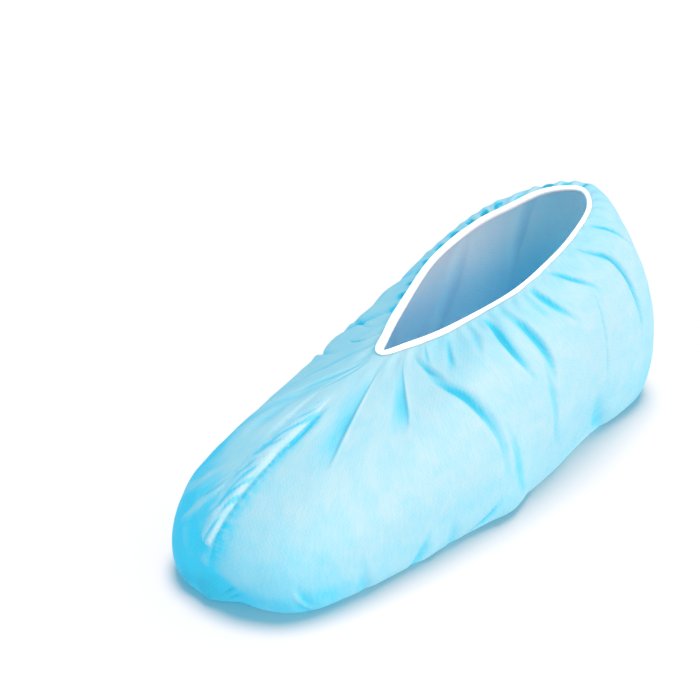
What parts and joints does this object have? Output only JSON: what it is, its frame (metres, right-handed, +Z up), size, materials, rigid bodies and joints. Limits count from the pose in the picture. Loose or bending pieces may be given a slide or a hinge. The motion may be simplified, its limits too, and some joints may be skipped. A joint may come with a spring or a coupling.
{
  "type": "disposable shoe cover",
  "caption": "Soft pale blue non-woven cover that is drawn over a shoe, with a gathered opening in a white binding, a folded seam over the toe and a flat sole.",
  "frame": {"origin": "on the ground under the middle of the cover's box", "axes": "+Z up, +Y from the toe to the heel, +X to the wearer's left"},
  "size_m": [0.1076, 0.3122, 0.1242],
  "materials": {
    "nonwoven_cloth": "matt, pale cyan spunbond non-woven with a fine bonded emboss",
    "binding_tape": "matt white folded binding tape"
  },
  "bodies": {
    "root": {"cover_body": "nonwoven_cloth", "toe_seam": "nonwoven_cloth", "heel_seam": "nonwoven_cloth", "opening_binding": "binding_tape"}
  },
  "joints": []
}
